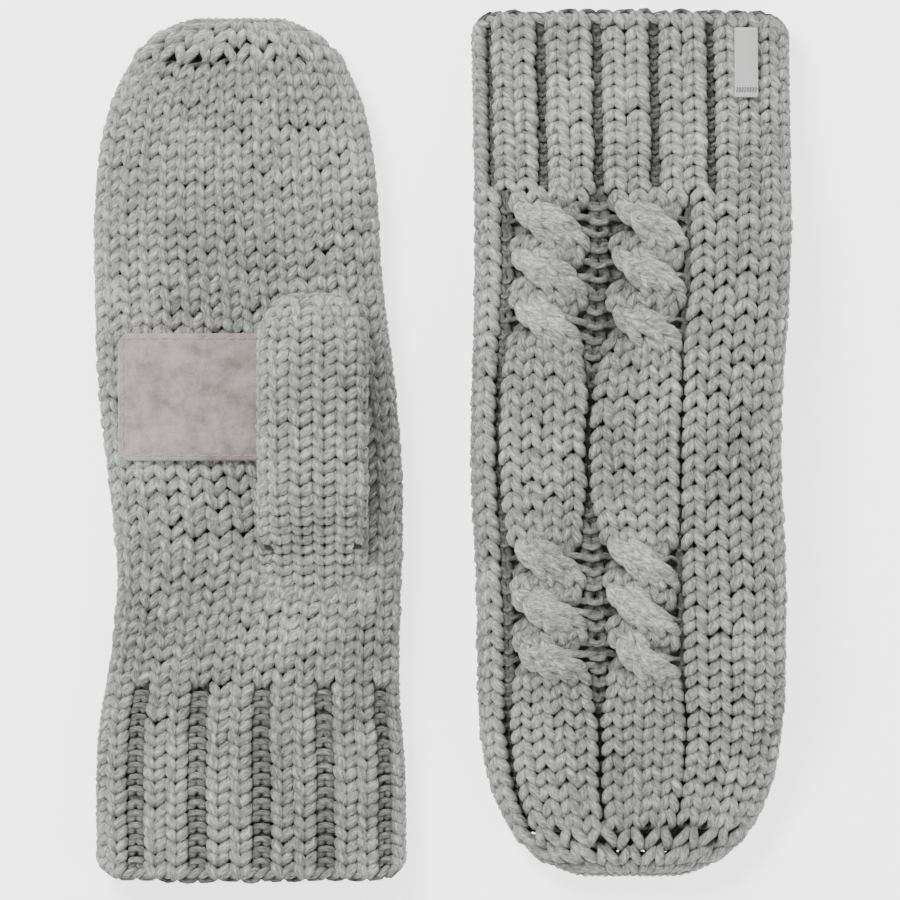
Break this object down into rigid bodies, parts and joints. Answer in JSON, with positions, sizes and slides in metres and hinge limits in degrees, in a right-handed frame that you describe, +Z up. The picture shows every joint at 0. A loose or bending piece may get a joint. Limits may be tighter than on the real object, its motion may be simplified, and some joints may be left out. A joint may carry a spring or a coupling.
{
  "type": "pair of knitted mittens",
  "caption": "Pair of lined, chunky cable-knit mittens lying flat, one palm up and one back up, with ribbed cuffs, folded-in thumbs and a suede palm patch.",
  "frame": {"origin": "centre of the pair's bounding box in plan, at the surface that the pair lies on", "axes": "+Z up from that surface, +Y towards the right mitten's fingertips, +X from the right mitten to the left mitten"},
  "size_m": [0.2088, 0.26, 0.0405],
  "materials": {
    "knit_yarn": "heather grey bulky yarn, plied and slightly fuzzy",
    "fleece_lining": "short pile fleece",
    "suede_patch": "matt brushed faux suede",
    "woven_tape": "woven satin tape, blank",
    "sewing_thread": "matt sewing thread"
  },
  "bodies": {
    "right_hand": {"right_palm_shell": "knit_yarn", "right_back_shell": "knit_yarn", "right_palm_lining": "fleece_lining", "right_back_lining": "fleece_lining", "right_side_seam": "knit_yarn", "right_palm_patch": "suede_patch", "right_patch_stitching": "sewing_thread"},
    "right_cuff": {"right_cuff_rib": "knit_yarn", "right_cuff_facing": "fleece_lining", "right_mouth_thread": "sewing_thread", "right_care_label": "woven_tape"},
    "right_thumb": {"right_thumb_shell": "knit_yarn", "right_thumb_lining": "fleece_lining", "right_thumb_seam": "knit_yarn"},
    "left_hand": {"left_palm_shell": "knit_yarn", "left_back_shell": "knit_yarn", "left_palm_lining": "fleece_lining", "left_back_lining": "fleece_lining", "left_side_seam": "knit_yarn", "left_palm_patch": "suede_patch", "left_patch_stitching": "sewing_thread"},
    "left_cuff": {"left_cuff_rib": "knit_yarn", "left_cuff_facing": "fleece_lining", "left_mouth_thread": "sewing_thread", "left_cuff_label": "woven_tape", "left_label_tack": "sewing_thread"},
    "left_thumb": {"left_thumb_shell": "knit_yarn", "left_thumb_lining": "fleece_lining", "left_thumb_seam": "knit_yarn"}
  },
  "joints": [
    {"name": "left_mitten_slide", "type": "slide", "parent": "right_hand", "child": "left_hand", "axis": [1, 0, 0], "range_m": [0, 0.15]},
    {"name": "right_cuff_bend", "type": "hinge", "parent": "right_hand", "child": "right_cuff", "pos_m": [-0.0576, -0.073, 0.011], "axis": [-1, 0, 0], "range_deg": [0, 25]},
    {"name": "right_thumb_swing", "type": "hinge", "parent": "right_hand", "child": "right_thumb", "pos_m": [-0.0386, -0.022, 0.0325], "axis": [0, 0, -1], "range_deg": [-8, 30]},
    {"name": "left_cuff_bend", "type": "hinge", "parent": "left_hand", "child": "left_cuff", "pos_m": [0.0561, 0.073, 0.02368], "axis": [1, 0, 0], "range_deg": [0, 25]},
    {"name": "left_thumb_swing", "type": "hinge", "parent": "left_hand", "child": "left_thumb", "pos_m": [0.0371, 0.022, 0.008], "axis": [0, 0, -1], "range_deg": [-8, 30]}
  ]
}
